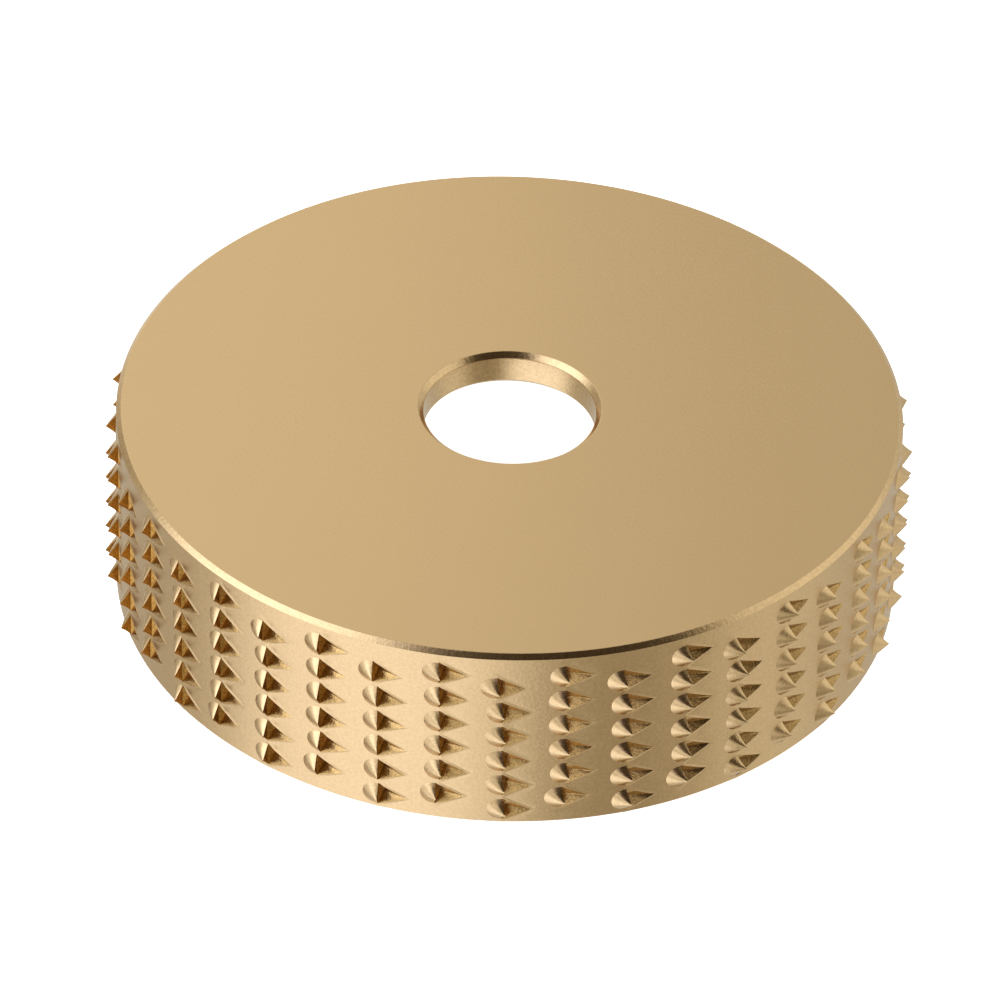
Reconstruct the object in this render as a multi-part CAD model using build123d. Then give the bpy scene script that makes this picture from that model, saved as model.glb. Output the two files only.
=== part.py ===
"""Angle grinder carving disc: a cup-shaped steel disc with rasp teeth raised on its rim.

The disc lies on its open side, with its flat face up. The origin is the middle of the
plane it rests on, +Z is up, and -Y is the front. Column 01 of the teeth faces the front,
and the others follow anticlockwise, seen from above. Sizes are in millimetres.
"""

import math
import os

from build123d import *

# Disc: a flat web with a bore, and a rim that hangs from it.
BODY_DIAMETER = 72.8  # over the plain rim wall, between the teeth
HEIGHT = 19.5
WEB_THICKNESS = 3.5
RIM_THICKNESS = 4.4
BORE_DIAMETER = 16.0
TOP_CHAMFER = 0.45  # edge of the flat face
BORE_CHAMFER = 0.5
EDGE_BREAK = 0.2  # edges of the rim's foot
RECESS_FILLET = 1.5  # inside corner between web and rim

# Teeth: columns along the axis, every second column lower by the stagger.
COLUMNS = 40
TEETH_PER_COLUMN = 6
TOOTH_PITCH = 2.82  # along the axis
FIRST_TOOTH_DEPTH = 2.5  # from the flat face to the middle of a column's first tooth
STAGGER = 1.25
COLUMN_LEAN = 1.4  # degrees between a column and the disc's axis
BACKLASH = 0.4  # how far the first tooth struck in a column falls behind the rest

# One tooth: a half-cone burr behind a straight cutting edge, and the pit it came from.
TOOTH_HEIGHT = 1.1  # tip above the rim wall
TOOTH_WIDTH = 2.5  # length of the cutting edge's foot, along the axis
BURR_LENGTH = 1.5  # from the cutting edge's foot back to where the burr starts
TIP_LEAN = 0.3  # how far the tip overhangs the pit
PIT_LENGTH = 2.7  # from the cutting edge's foot to the pit's far corner
PIT_DEPTH = 0.6
PIT_DEEPEST = 0.35  # from the cutting edge's foot to the deepest point

ROOT_SINK = 0.08  # how deep a burr is made before the rim wall trims its underside
PIT_OVERCUT = 1.6  # the pit cutter's size, against the pit's own, to pass the wall

BODY_RADIUS = BODY_DIAMETER / 2
RECESS_RADIUS = BODY_RADIUS - RIM_THICKNESS
RECESS_DEPTH = HEIGHT - WEB_THICKNESS
COLUMN_STEP = 360 / COLUMNS


def disc_blank():
    """The turned disc before its teeth are struck."""
    rim = Pos(0, 0, HEIGHT / 2) * Cylinder(BODY_RADIUS, HEIGHT)
    recess = Pos(0, 0, RECESS_DEPTH / 2) * Cylinder(RECESS_RADIUS, RECESS_DEPTH)
    recess_corner = recess.edges().filter_by(GeomType.CIRCLE).sort_by(Axis.Z)[-1]
    recess = fillet(recess_corner, RECESS_FILLET)
    bore = Pos(0, 0, HEIGHT / 2) * Cylinder(BORE_DIAMETER / 2, HEIGHT)
    blank = rim - recess - bore

    circles = blank.edges().filter_by(GeomType.CIRCLE)
    on_face = circles.filter_by_position(Axis.Z, HEIGHT, HEIGHT).sort_by(SortBy.RADIUS)
    blank = chamfer(on_face[-1], TOP_CHAMFER)
    blank = chamfer(
        blank.edges().filter_by(GeomType.CIRCLE).sort_by(SortBy.RADIUS)[:2], BORE_CHAMFER
    )
    foot = blank.edges().filter_by(GeomType.CIRCLE).filter_by_position(Axis.Z, 0, 0)
    return chamfer(foot, EDGE_BREAK)


def on_wall(along):
    """The point of the front of the rim wall that lies this far round it, at height 0."""
    angle = along / BODY_RADIUS
    return Vector(BODY_RADIUS * math.sin(angle), -BODY_RADIUS * math.cos(angle), 0)


def tetrahedron(corners):
    """The closed solid on four corners."""
    faces = []
    for left_out in corners:
        triangle = [corner for corner in corners if corner is not left_out]
        faces.append(Face(Wire.make_polygon(triangle, close=True)))
    return Solid(Shell(faces))


def burr():
    """One raised burr at the front of the rim, its cutting edge's foot on X = 0, Z = 0."""
    tip = Vector(TIP_LEAN, -BODY_RADIUS - TOOTH_HEIGHT, 0)
    spread = (TOOTH_HEIGHT + ROOT_SINK) / TOOTH_HEIGHT
    foot_x = tip.X - TIP_LEAN * spread
    base_plane = Plane(
        origin=(foot_x, -BODY_RADIUS + ROOT_SINK, 0), x_dir=(1, 0, 0), z_dir=(0, -1, 0)
    )
    half_width = TOOTH_WIDTH / 2 * spread
    back = EllipticalCenterArc((0, 0), BURR_LENGTH * spread, half_width, 90, arc_size=180)
    edge_foot = Line((0, -half_width), (0, half_width))
    outline = base_plane * Face(Wire([back, edge_foot]))
    cone = loft([outline, Vertex(*tip)])
    rim = Cylinder(BODY_RADIUS, TOOTH_WIDTH * 2)
    return (cone - rim).solid()


def pit_cutter():
    """The three-sided cutter that leaves one pit beside a burr's cutting edge."""
    deepest = Vector(PIT_DEEPEST, -BODY_RADIUS + PIT_DEPTH, 0)
    opening = [
        on_wall(0) + Vector(0, 0, TOOTH_WIDTH / 2),
        on_wall(0) - Vector(0, 0, TOOTH_WIDTH / 2),
        on_wall(PIT_LENGTH),
    ]
    passing_wall = [deepest + (corner - deepest) * PIT_OVERCUT for corner in opening]
    return tetrahedron([deepest] + passing_wall)


def tooth_places(column):
    """Where a column's teeth go: each one's turn about the axis and its height."""
    low_column = column % 2 == 0
    first_depth = FIRST_TOOTH_DEPTH + (STAGGER if low_column else 0)
    first_struck = 0 if low_column else TEETH_PER_COLUMN - 1
    places = []
    for tooth in range(TEETH_PER_COLUMN):
        below_first = tooth * TOOTH_PITCH
        along = below_first * math.tan(math.radians(COLUMN_LEAN))
        if tooth == first_struck:
            along -= BACKLASH
        turn = column * COLUMN_STEP + math.degrees(along / BODY_RADIUS)
        places.append((turn, HEIGHT - first_depth - below_first))
    return places


def at_place(shape, place):
    """A copy of a shape from the front of the rim, moved to a tooth's place."""
    turn, height = place
    return Pos(0, 0, height) * Rot(0, 0, turn) * shape


def main():
    os.makedirs("parts", exist_ok=True)
    one_burr = burr()
    one_cutter = pit_cutter()
    cutters = []
    for column in range(COLUMNS):
        places = tooth_places(column)
        cutters += [at_place(one_cutter, place) for place in places]
        teeth = Compound([at_place(one_burr, place) for place in places])
        export_step(teeth, f"parts/tooth_column_{column + 1:02d}.step")
    body = (disc_blank() - cutters).solid()
    export_step(body, "parts/disc_body.step")


main()
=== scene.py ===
"""The angle grinder carving disc as it looks: gold-coated steel with punched rasp teeth.

Units are metres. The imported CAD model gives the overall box; the sizes below are the disc's
own, from which every surface is worked out. The flat face is up and the front is -Y.
"""

import math
import random

import bmesh
import bpy
from mathutils import Matrix, Vector
from mathutils.geometry import delaunay_2d_cdt


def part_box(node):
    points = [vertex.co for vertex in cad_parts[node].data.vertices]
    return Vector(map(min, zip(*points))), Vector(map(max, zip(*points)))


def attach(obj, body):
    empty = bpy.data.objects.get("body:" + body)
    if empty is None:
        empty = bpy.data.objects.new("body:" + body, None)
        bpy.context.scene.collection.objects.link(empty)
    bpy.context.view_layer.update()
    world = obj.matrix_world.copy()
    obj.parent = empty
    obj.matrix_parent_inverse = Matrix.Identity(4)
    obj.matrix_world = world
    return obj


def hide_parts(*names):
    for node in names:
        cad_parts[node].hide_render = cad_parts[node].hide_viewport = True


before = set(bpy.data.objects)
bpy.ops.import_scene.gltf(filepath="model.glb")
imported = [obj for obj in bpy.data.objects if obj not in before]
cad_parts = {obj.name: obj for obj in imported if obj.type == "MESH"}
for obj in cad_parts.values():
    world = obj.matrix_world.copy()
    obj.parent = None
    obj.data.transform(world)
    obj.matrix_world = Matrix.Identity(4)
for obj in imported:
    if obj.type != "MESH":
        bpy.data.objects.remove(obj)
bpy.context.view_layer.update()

MM = 0.001

# Disc
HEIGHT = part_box("disc_body")[1][2]
BODY_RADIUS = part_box("disc_body")[1][0]
WEB_THICKNESS = 3.5 * MM
RIM_THICKNESS = 4.4 * MM
BORE_RADIUS = 8.0 * MM
TOP_CHAMFER = 0.45 * MM
BORE_CHAMFER = 0.5 * MM
EDGE_BREAK = 0.2 * MM
RECESS_FILLET = 1.5 * MM
EDGE_ROUND = 0.05 * MM  # worn radius of the turned edges

# Teeth
COLUMNS = 40
TEETH_PER_COLUMN = 6
TOOTH_PITCH = 2.82 * MM
FIRST_TOOTH_DEPTH = 2.5 * MM
STAGGER = 1.25 * MM
COLUMN_LEAN = math.radians(1.4)
BACKLASH = 0.4 * MM
TOOTH_HEIGHT = 1.1 * MM
TOOTH_WIDTH = 2.5 * MM
BURR_LENGTH = 1.5 * MM
TIP_LEAN = 0.3 * MM
PIT_LENGTH = 2.7 * MM
PIT_DEPTH = 0.6 * MM
PIT_DEEPEST = 0.35 * MM
LIP_HEIGHT = 0.045 * MM  # metal pushed up along a pit's edge
LIP_WIDTH = 0.16 * MM
LIP_CLEARANCE = 1.6  # lip widths round a pit that the wall's grid keeps out of
LIP_PLACES = (0.15, 0.4, 0.65, 0.88)  # shares of a pit's side where its lip is highest
BURR_SINK = 0.05 * MM  # how far a burr's foot reaches into the wall
BURR_SWELL = 0.10 * MM  # bulge of a burr's back
SEAM_GAP = 0.7 * MM  # from a column's pits to the seam of its strip of wall

# Mesh fineness
SEGMENTS_PER_COLUMN = 8
WALL_ROWS = 28
FILLET_STEPS = 8
ROUND_STEPS = 3
BURR_AROUND = 22
BURR_UP = 10
WELD_DISTANCE = 0.0005 * MM
SAME_POINT = 0.0002 * MM
BODY_CREASE = 28  # degrees
BURR_CREASE = 40

# The body's material slots, in order
FACE, WALL, PIT, CUT, EDGE = range(5)
LEVEL_SLOPE = 0.2  # turned surfaces flatter than this are faces, the rest are edges
# A burr's material slots
BURR_BACK, BURR_CUT = range(2)

random.seed(75)


# ---------------------------------------------------------------- places on the rim


def tooth_places(column):
    """Each tooth of a column: how far round the rim its cutting edge is, and its height."""
    low_column = column % 2 == 0
    first_depth = FIRST_TOOTH_DEPTH + (STAGGER if low_column else 0)
    first_struck = 0 if low_column else TEETH_PER_COLUMN - 1
    column_start = column * math.tau * BODY_RADIUS / COLUMNS
    places = []
    for tooth in range(TEETH_PER_COLUMN):
        below_first = tooth * TOOTH_PITCH
        along = column_start + below_first * math.tan(COLUMN_LEAN)
        if tooth == first_struck:
            along -= BACKLASH
        places.append((along, HEIGHT - first_depth - below_first))
    return places


def on_rim(along, height, out=0.0):
    """The point this far round the rim, anticlockwise from the front, and out from it."""
    angle = along / BODY_RADIUS
    radius = BODY_RADIUS + out
    return Vector((radius * math.sin(angle), -radius * math.cos(angle), height))


def near_tooth(place, along, up, out):
    """A point given from the middle of a tooth's cutting edge: round, up and out."""
    return on_rim(place[0] + along, place[1] + up, out)


# ---------------------------------------------------------------- meshes


def mesh_object(name, points, faces, materials, face_materials=None):
    """A mesh object from its points and faces, with smooth shading."""
    mesh = bpy.data.meshes.new(name)
    mesh.from_pydata([tuple(point) for point in points], [], faces)
    for material in materials:
        mesh.materials.append(material)
    if face_materials:
        mesh.polygons.foreach_set("material_index", face_materials)
    mesh.polygons.foreach_set("use_smooth", [True] * len(mesh.polygons))
    mesh.update()
    piece = bpy.data.objects.new(name, mesh)
    bpy.context.collection.objects.link(piece)
    return piece


def finish_mesh(piece, crease_degrees):
    """Welds the seams, faces every face outwards and keeps creases sharp."""
    welded = bmesh.new()
    welded.from_mesh(piece.data)
    bmesh.ops.remove_doubles(welded, verts=welded.verts, dist=WELD_DISTANCE)
    bmesh.ops.recalc_face_normals(welded, faces=welded.faces)
    welded.to_mesh(piece.data)
    welded.free()
    piece.data.set_sharp_from_angle(angle=math.radians(crease_degrees))
    weighted = piece.modifiers.new("flat faces stay flat", "WEIGHTED_NORMAL")
    weighted.keep_sharp = True


def rounded(corners, radius):
    """A profile's corners, all but the first and last replaced by short arcs."""
    points = []
    for i, corner in enumerate(corners):
        before, after = corners[i - 1], corners[(i + 1) % len(corners)]
        if i in (0, len(corners) - 1):
            points.append(corner)
            continue
        start = corner + (before - corner).normalized() * radius
        end = corner + (after - corner).normalized() * radius
        for step in range(ROUND_STEPS + 1):
            t = step / ROUND_STEPS
            points.append(start * (1 - t) ** 2 + corner * 2 * t * (1 - t) + end * t**2)
    return points


def turned_profile():
    """The turned surface from the top of the rim wall, over the face and down inside."""
    recess_radius = BODY_RADIUS - RIM_THICKNESS
    recess_roof = HEIGHT - WEB_THICKNESS
    corners = [
        (BODY_RADIUS, HEIGHT - TOP_CHAMFER),
        (BODY_RADIUS - TOP_CHAMFER, HEIGHT),
        (BORE_RADIUS + BORE_CHAMFER, HEIGHT),
        (BORE_RADIUS, HEIGHT - BORE_CHAMFER),
        (BORE_RADIUS, recess_roof + BORE_CHAMFER),
        (BORE_RADIUS + BORE_CHAMFER, recess_roof),
    ]
    for step in range(FILLET_STEPS + 1):
        turn = math.radians(90 - step * 90 / FILLET_STEPS)
        corners.append(
            (
                recess_radius - RECESS_FILLET * (1 - math.cos(turn)),
                recess_roof - RECESS_FILLET * (1 - math.sin(turn)),
            )
        )
    corners += [
        (recess_radius, EDGE_BREAK),
        (recess_radius + EDGE_BREAK, 0),
        (BODY_RADIUS - EDGE_BREAK, 0),
        (BODY_RADIUS, EDGE_BREAK),
    ]
    return rounded([Vector(corner) for corner in corners], EDGE_ROUND)


def add_turned(points, faces, materials):
    """Spins the profile round the axis."""
    profile = turned_profile()
    around = COLUMNS * SEGMENTS_PER_COLUMN
    step = math.tau * BODY_RADIUS / around
    start = seam_offset()
    first = len(points)
    for i in range(around):
        angle = (start + i * step) / BODY_RADIUS
        for radius, height in profile:
            points.append(Vector((radius * math.sin(angle), -radius * math.cos(angle), height)))
    rows = len(profile)
    for i in range(around):
        here, there = first + i * rows, first + ((i + 1) % around) * rows
        for row in range(rows - 1):
            faces.append((here + row, there + row, there + row + 1, here + row + 1))
            run = profile[row + 1] - profile[row]
            materials.append(FACE if abs(run.y) < LEVEL_SLOPE * abs(run.x) else EDGE)


def seam_offset():
    """How far round from a column its strip of wall ends, clear of pits and burrs."""
    return PIT_LENGTH + SEAM_GAP


def offset_triangle(corners, distance):
    """A triangle's corners moved so that each side shifts outwards by a distance."""
    moved = []
    for i, corner in enumerate(corners):
        to_next = (corners[(i + 1) % 3] - corner).normalized()
        to_last = (corners[i - 1] - corner).normalized()
        bisector = (to_next + to_last).normalized()
        half = math.acos(max(-1, min(1, to_next.dot(to_last)))) / 2
        moved.append(corner - bisector * min(distance / math.sin(half), 3 * distance))
    return moved


def inside(point, corners):
    """Whether a point lies in a triangle."""
    turns = []
    for i, corner in enumerate(corners):
        side = corners[(i + 1) % 3] - corner
        turns.append(side.x * (point.y - corner.y) - side.y * (point.x - corner.x))
    return all(turn > 0 for turn in turns) or all(turn < 0 for turn in turns)


def wall_material(point, pits):
    """The wall's material slot at a point: plain wall, a pit's flank or its back wall."""
    for opening, deepest_at, _ in pits:
        if inside(point, [opening[0], opening[1], deepest_at]):
            return CUT
        if inside(point, opening):
            return PIT
    return WALL


def add_wall_strip(column, points, faces, materials):
    """One column's strip of rim wall, with its pits struck into it."""
    strip_width = math.tau * BODY_RADIUS / COLUMNS
    right = column * strip_width + seam_offset()
    left = right - strip_width
    low, high = EDGE_BREAK, HEIGHT - TOP_CHAMFER
    flat, edges, heights = [], [], []

    def add(point, out):
        flat.append(point)
        heights.append(out)
        return len(flat) - 1

    pits = []
    for along, height in tooth_places(column):
        foot = Vector((along, height))
        deepest_at = foot + Vector((PIT_DEEPEST, random.uniform(-0.08, 0.08) * MM))
        depth = PIT_DEPTH * random.uniform(0.9, 1.0)
        length = PIT_LENGTH * random.uniform(0.94, 1.02)
        half = TOOTH_WIDTH / 2
        opening = [
            foot + Vector((0, half)),
            foot + Vector((0, -half)),
            foot + Vector((length, random.uniform(-0.06, 0.06) * MM)),
        ]
        pits.append((opening, deepest_at, depth))
        rim_points = [add(corner, 0.0) for corner in opening]
        for i in (1, 2):
            side_a, side_b = opening[i], opening[(i + 1) % 3]
            middle = [add(side_a.lerp(side_b, t), LIP_HEIGHT) for t in LIP_PLACES]
            chain = [rim_points[i]] + middle + [rim_points[(i + 1) % 3]]
            edges.extend(zip(chain[:-1], chain[1:]))
        edges.append((rim_points[0], rim_points[1]))
        bottom = add(deepest_at, -depth)
        edges.extend((bottom, corner) for corner in rim_points)
        outer = offset_triangle(opening, LIP_WIDTH)
        outer[0] = Vector((opening[0].x, outer[0].y))
        outer[1] = Vector((opening[1].x, outer[1].y))
        outer_points = [add(corner, 0.0) for corner in outer]
        edges.extend([(outer_points[1], outer_points[2]), (outer_points[2], outer_points[0])])

    keep_clear = [offset_triangle(opening, LIP_WIDTH * LIP_CLEARANCE) for opening, _, _ in pits]
    for i in range(SEGMENTS_PER_COLUMN + 1):
        across = left + strip_width * i / SEGMENTS_PER_COLUMN
        for row in range(WALL_ROWS + 1):
            point = Vector((across, low + (high - low) * row / WALL_ROWS))
            on_border = i in (0, SEGMENTS_PER_COLUMN) or row in (0, WALL_ROWS)
            if on_border or not any(inside(point, corners) for corners in keep_clear):
                add(point, 0.0)

    found, _, triangles, origins, _, _ = delaunay_2d_cdt(flat, edges, [], 0, SAME_POINT)
    first = len(points)
    for point, source in zip(found, origins):
        out = heights[source[0]] if source else 0.0
        points.append(on_rim(point.x, point.y, out))
    for triangle in triangles:
        middle = sum((found[i] for i in triangle), Vector((0, 0))) / 3
        faces.append(tuple(first + i for i in triangle))
        materials.append(wall_material(middle, pits))


def make_body(metals):
    """The turned disc with its pits."""
    points, faces, materials = [], [], []
    add_turned(points, faces, materials)
    for column in range(COLUMNS):
        add_wall_strip(column, points, faces, materials)
    body = mesh_object("carving_disc", points, faces, metals, materials)
    finish_mesh(body, BODY_CREASE)
    return body


def add_burr(place, points, faces, materials):
    """One closed burr: a shell that flares up from the wall to a sharp leaning edge."""
    height = TOOTH_HEIGHT * random.uniform(0.93, 1.0)
    tip_up = random.uniform(-0.1, 0.1) * MM
    tip_along = TIP_LEAN * random.uniform(0.8, 1.2)
    length = BURR_LENGTH * random.uniform(0.92, 1.05)
    half = TOOTH_WIDTH / 2 * random.uniform(0.97, 1.02)
    first = len(points)
    for around in range(BURR_AROUND + 1):
        turn = math.pi * around / BURR_AROUND
        base_along = -length * math.sin(turn) ** 0.9
        base_up = half * math.cos(turn)
        for up in range(BURR_UP + 1):
            t = up / BURR_UP
            swell = BURR_SWELL * math.sin(math.pi * t) * math.sin(turn)
            out = -BURR_SINK + (height + BURR_SINK) * (0.25 * t**2 + 0.75 * t) + swell
            along = base_along * (1 - t) + tip_along * t**1.4
            points.append(near_tooth(place, along, base_up * (1 - t) + tip_up * t, out))
    rows = BURR_UP + 1
    for around in range(BURR_AROUND):
        here, there = first + around * rows, first + (around + 1) * rows
        for row in range(BURR_UP - 1):
            faces.append((here + row, there + row, there + row + 1, here + row + 1))
        faces.append((here + BURR_UP - 1, there + BURR_UP - 1, here + BURR_UP))
    shell_faces = BURR_AROUND * BURR_UP
    last = first + BURR_AROUND * rows
    for row in range(BURR_UP - 1):
        faces.append((first + row, first + row + 1, last + row + 1, last + row))
    faces.append((first + BURR_UP - 1, first + BURR_UP, last + BURR_UP - 1))
    faces.append(tuple(first + around * rows for around in range(BURR_AROUND + 1)))
    materials += [BURR_BACK] * shell_faces + [BURR_CUT] * BURR_UP + [BURR_BACK]


def make_tooth_column(column, burr_metal, cut_face_painted_shade_metal):
    """The raised burrs of one column."""
    points, faces, materials = [], [], []
    for place in tooth_places(column):
        add_burr(place, points, faces, materials)
    # The burrs' cutting faces take the gold darkened with painted shade.
    metals = [burr_metal, cut_face_painted_shade_metal]
    teeth = mesh_object(f"teeth_{column + 1:02d}", points, faces, metals, materials)
    finish_mesh(teeth, BURR_CREASE)
    return teeth


# ---------------------------------------------------------------- materials


MOTTLE_SIZE = 9 * MM
GLOSS_SPREAD = 0.12  # share of the roughness by which the grain varies it
SPECKLE_FROM, SPECKLE_TO = 0.35, 0.65  # the noise values that most of the grain lies between


def gold_metal(name, color, roughness, grain_size, grain_depth, mottling, speckle):
    """Gold-coated steel: mottled and speckled, with a grain of this size and depth."""
    material = bpy.data.materials.new(name)
    material.use_nodes = True
    nodes, links = material.node_tree.nodes, material.node_tree.links
    shader = nodes["Principled BSDF"]
    shader.inputs["Metallic"].default_value = 1.0
    place = nodes.new("ShaderNodeTexCoord")

    cloud = nodes.new("ShaderNodeTexNoise")
    cloud.inputs["Scale"].default_value = 1 / MOTTLE_SIZE
    cloud.inputs["Detail"].default_value = 3
    tint = nodes.new("ShaderNodeValToRGB")
    tint.color_ramp.elements[0].color = [c * (1 - mottling) for c in color] + [1]
    tint.color_ramp.elements[1].color = [min(1, c * (1 + mottling)) for c in color] + [1]
    links.new(place.outputs["Object"], cloud.inputs["Vector"])
    links.new(cloud.outputs["Fac"], tint.inputs["Fac"])
    grain = nodes.new("ShaderNodeTexNoise")
    grain.inputs["Scale"].default_value = 1 / grain_size
    grain.inputs["Detail"].default_value = 4
    links.new(place.outputs["Object"], grain.inputs["Vector"])
    spots = nodes.new("ShaderNodeMapRange")
    spots.inputs["From Min"].default_value = SPECKLE_FROM
    spots.inputs["From Max"].default_value = SPECKLE_TO
    spots.inputs["To Min"].default_value = 1 - speckle
    spots.inputs["To Max"].default_value = 1 + speckle
    links.new(grain.outputs["Fac"], spots.inputs["Value"])
    speckled = nodes.new("ShaderNodeVectorMath")
    speckled.operation = "SCALE"
    links.new(tint.outputs["Color"], speckled.inputs[0])
    links.new(spots.outputs["Result"], speckled.inputs["Scale"])
    links.new(speckled.outputs["Vector"], shader.inputs["Base Color"])
    gloss = nodes.new("ShaderNodeMapRange")
    gloss.inputs["To Min"].default_value = roughness * (1 - GLOSS_SPREAD)
    gloss.inputs["To Max"].default_value = roughness * (1 + GLOSS_SPREAD)
    links.new(grain.outputs["Fac"], gloss.inputs["Value"])
    links.new(gloss.outputs["Result"], shader.inputs["Roughness"])
    bump = nodes.new("ShaderNodeBump")
    bump.inputs["Strength"].default_value = 1.0
    bump.inputs["Distance"].default_value = grain_depth
    links.new(grain.outputs["Fac"], bump.inputs["Height"])
    links.new(bump.outputs["Normal"], shader.inputs["Normal"])
    return material


# ---------------------------------------------------------------- studio


def direction(azimuth, elevation):
    """A direction, anticlockwise from the front and up from level, in degrees."""
    azimuth, elevation = math.radians(azimuth), math.radians(elevation)
    level = math.cos(elevation)
    return (math.sin(azimuth) * level, -math.cos(azimuth) * level, math.sin(elevation))


# What the metal mirrors: azimuth, elevation, inner and outer radius in degrees, and the
# light that it adds, or takes away where negative.
COOL = (0.92, 1.0, 1.3)
WHITE = (1.0, 1.0, 1.0)
WARM_SHADE = (0.92, 1.0, 1.06)
SOFTBOXES = {
    "key, low front left": (-40, -36, 8, 44, 0.95, COOL),
    "key, high left": (-74, 40, 8, 38, 1.5, COOL),
    "left, level": (-78, 8, 10, 40, 0.35, COOL),
    "back left": (-158, 0, 6, 30, 0.30, WHITE),
    "front, level": (-4, 16, 6, 26, 0.55, COOL),
    "dark card, low": (37, -38, 6, 30, -0.42, WARM_SHADE),
    "dark card, level": (46, 0, 8, 30, -0.30, WARM_SHADE),
    "dark card, high": (36, 42, 8, 28, -0.40, WARM_SHADE),
    "dark, above the camera": (16, 47, 16, 42, -1.05, WARM_SHADE),
    "fill, right": (80, -32, 10, 34, 0.10, WHITE),
    "fill, high right": (100, 30, 8, 36, 0.32, WHITE),
    "dark, low behind left": (-130, -30, 10, 45, -0.22, WARM_SHADE),
    "dark, high behind left": (-136, 14, 8, 30, -0.30, WARM_SHADE),
    "dark, low behind right": (145, -34, 10, 45, -0.16, WARM_SHADE),
    "dark, high behind": (176, 40, 16, 50, -0.10, WARM_SHADE),
}
AMBIENT = (0.84, 0.84, 0.80)
DARKEST = (0.05, 0.035, 0.02)


def make_studio():
    """A plain light background for the camera, with softboxes that only the metal sees."""
    world = bpy.data.worlds.new("studio")
    bpy.context.scene.world = world
    world.use_nodes = True
    nodes, links = world.node_tree.nodes, world.node_tree.links
    nodes.clear()
    place = nodes.new("ShaderNodeTexCoord")
    total = nodes.new("ShaderNodeCombineXYZ")
    for axis, level in zip("XYZ", AMBIENT):
        total.inputs[axis].default_value = level
    for name, (azimuth, elevation, inner, outer, level, color) in SOFTBOXES.items():
        facing = nodes.new("ShaderNodeVectorMath")
        facing.operation = "DOT_PRODUCT"
        facing.label = name
        facing.inputs[1].default_value = direction(azimuth, elevation)
        links.new(place.outputs["Generated"], facing.inputs[0])
        shape = nodes.new("ShaderNodeMapRange")
        shape.interpolation_type = "SMOOTHSTEP"
        shape.inputs["From Min"].default_value = math.cos(math.radians(outer))
        shape.inputs["From Max"].default_value = math.cos(math.radians(inner))
        shape.inputs["To Max"].default_value = level
        links.new(facing.outputs["Value"], shape.inputs["Value"])
        tinted = nodes.new("ShaderNodeVectorMath")
        tinted.operation = "SCALE"
        tinted.inputs[0].default_value = color
        links.new(shape.outputs["Result"], tinted.inputs["Scale"])
        add = nodes.new("ShaderNodeVectorMath")
        links.new(total.outputs[0], add.inputs[0])
        links.new(tinted.outputs[0], add.inputs[1])
        total = add
    floored = nodes.new("ShaderNodeVectorMath")
    floored.operation = "MAXIMUM"
    floored.inputs[1].default_value = DARKEST
    links.new(total.outputs[0], floored.inputs[0])
    mirrored = nodes.new("ShaderNodeBackground")
    links.new(floored.outputs[0], mirrored.inputs["Color"])
    seen = nodes.new("ShaderNodeBackground")
    seen.inputs["Strength"].default_value = 1.0
    kind = nodes.new("ShaderNodeLightPath")
    mix = nodes.new("ShaderNodeMixShader")
    links.new(kind.outputs["Is Camera Ray"], mix.inputs["Fac"])
    links.new(mirrored.outputs["Background"], mix.inputs[1])
    links.new(seen.outputs["Background"], mix.inputs[2])
    out = nodes.new("ShaderNodeOutputWorld")
    links.new(mix.outputs["Shader"], out.inputs["Surface"])


FLOOR_HALF = 3.0


def make_floor():
    """A plain white floor that the camera sees, and the metal neither mirrors nor is lit by."""
    corners = [(x * FLOOR_HALF, y * FLOOR_HALF, 0) for x, y in ((-1, -1), (1, -1), (1, 1), (-1, 1))]
    material = bpy.data.materials.new("floor")
    material.use_nodes = True
    shader = material.node_tree.nodes["Principled BSDF"]
    shader.inputs["Base Color"].default_value = (0.9, 0.9, 0.9, 1)
    shader.inputs["Roughness"].default_value = 0.9
    shader.inputs["Emission Color"].default_value = (1, 1, 1, 1)
    shader.inputs["Emission Strength"].default_value = 1.0
    floor = mesh_object("floor", corners, [(0, 1, 2, 3)], [material])
    floor.visible_glossy = False
    floor.visible_diffuse = False


FACE_LIGHT_WATTS = 0.16
FACE_LIGHT_SIZE = 420 * MM
FACE_LIGHT_PLACE = (-185 * MM, 355 * MM, 295 * MM)
FACE_LIGHT_AIM = (-10 * MM, 0, HEIGHT)


def make_face_light():
    """A softbox behind the disc on the left, which makes the flat face fall off."""
    light = bpy.data.lights.new("face light", "AREA")
    light.shape = "DISK"
    light.size = FACE_LIGHT_SIZE
    light.energy = FACE_LIGHT_WATTS
    light.color = (1.0, 0.98, 1.0)
    lamp = bpy.data.objects.new("face light", light)
    lamp.location = FACE_LIGHT_PLACE
    aim = Vector(FACE_LIGHT_AIM) - lamp.location
    lamp.rotation_euler = aim.to_track_quat("-Z", "Y").to_euler()
    lamp.visible_camera = False
    bpy.context.collection.objects.link(lamp)


CAMERA_DISTANCE = 848 * MM
CAMERA_ELEVATION = math.radians(37.76)
CAMERA_ROLL = math.radians(-1.73)
CAMERA_LENS = 329.9
AIM_RIGHT = math.radians(-0.059)  # the disc sits a little right of and above the middle
AIM_UP = math.radians(-0.585)


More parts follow.
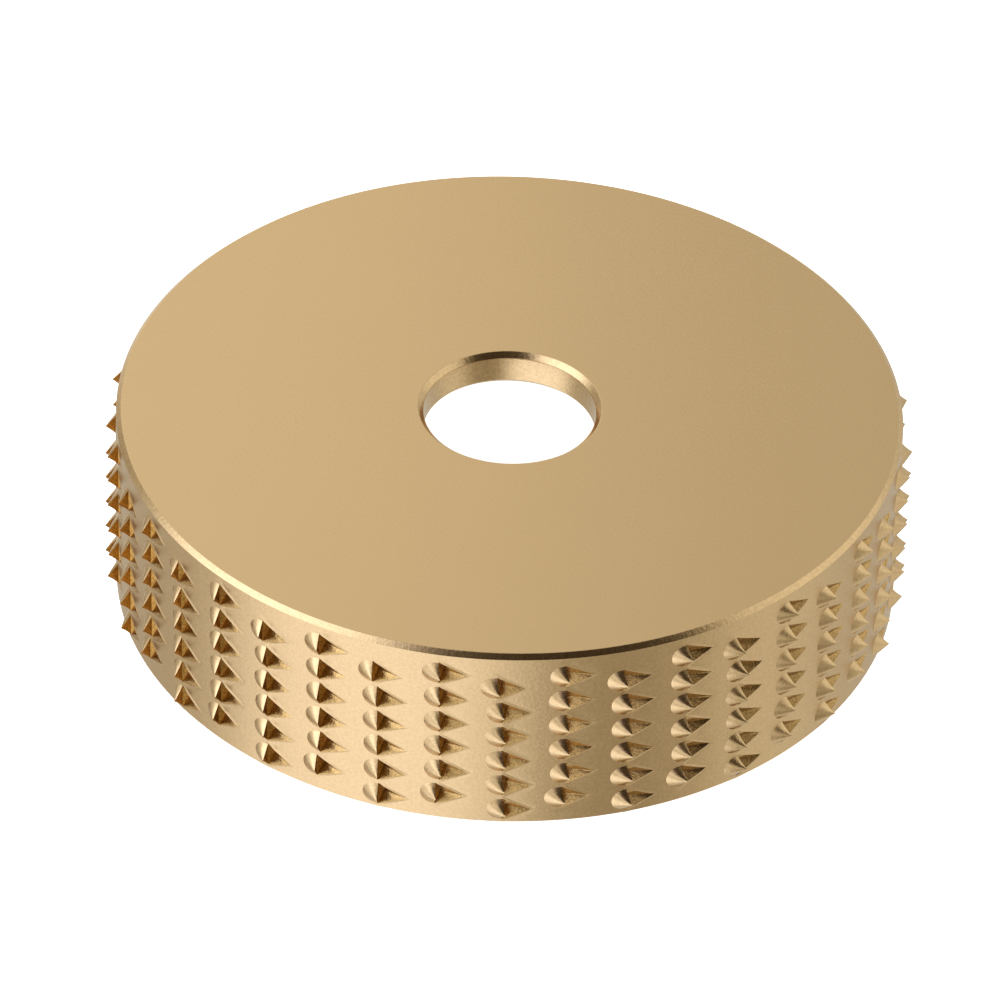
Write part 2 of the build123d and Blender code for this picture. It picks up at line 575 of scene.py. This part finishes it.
def make_camera():
    """A long lens, looking down on the front of the disc."""
    camera = bpy.data.objects.new("camera", bpy.data.cameras.new("camera"))
    bpy.context.collection.objects.link(camera)
    camera.data.lens = CAMERA_LENS
    camera.data.sensor_width = 36
    camera.data.clip_start = 0.01
    up_face = Vector((0, math.sin(CAMERA_ELEVATION), math.cos(CAMERA_ELEVATION)))
    side = Vector((1, 0, 0))
    right = side * math.cos(CAMERA_ROLL) - up_face * math.sin(CAMERA_ROLL)
    up = side * math.sin(CAMERA_ROLL) + up_face * math.cos(CAMERA_ROLL)
    back = right.cross(up)
    turn = Matrix((right, up, back)).transposed()
    turn = turn @ Matrix.Rotation(AIM_UP, 3, "X") @ Matrix.Rotation(-AIM_RIGHT, 3, "Y")
    camera.matrix_world = (
        Matrix.Translation(Vector((0, 0, HEIGHT)) + back * CAMERA_DISTANCE) @ turn.to_4x4()
    )
    bpy.context.scene.camera = camera


make_camera()
make_studio()
make_floor()
make_face_light()

GOLD = (0.60, 0.42, 0.215)
# Darker gold for the pits' flanks: painted shade in the pits.
PIT_PAINTED_SHADE_GOLD = (0.46, 0.29, 0.11)
# Darkest gold for the cutting faces of pits and burrs: painted shade.
CUT_FACE_PAINTED_SHADE_GOLD = (0.36, 0.19, 0.045)
face_metal = gold_metal("gold_turned", GOLD, 0.27, 0.12 * MM, 0.0006 * MM, 0.012, 0.006)
wall_metal = gold_metal("gold_blasted", GOLD, 0.32, 0.26 * MM, 0.014 * MM, 0.03, 0.06)
# The pits' flanks: painted shade in the base colour.
pit_painted_shade_metal = gold_metal("gold_pit_painted_shade", PIT_PAINTED_SHADE_GOLD, 0.24, 0.2 * MM, 0.02 * MM, 0.08, 0.22)
# The cutting faces: painted shade in the base colour.
cut_face_painted_shade_metal = gold_metal("gold_cutting_face_painted_shade", CUT_FACE_PAINTED_SHADE_GOLD, 0.24, 0.2 * MM, 0.02 * MM, 0.10, 0.30)
edge_metal = gold_metal("gold_edges", GOLD, 0.22, 0.3 * MM, 0.012 * MM, 0.05, 0.08)
burr_metal = gold_metal("gold_burr", GOLD, 0.24, 0.24 * MM, 0.012 * MM, 0.05, 0.08)

body = make_body([face_metal, wall_metal, pit_painted_shade_metal, cut_face_painted_shade_metal, edge_metal])
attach(body, "root")
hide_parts("disc_body")
for column in range(COLUMNS):
    teeth = make_tooth_column(column, burr_metal, cut_face_painted_shade_metal)
    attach(teeth, "root")
    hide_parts(f"tooth_column_{column + 1:02d}")

bpy.context.scene.view_settings.view_transform = "Standard"
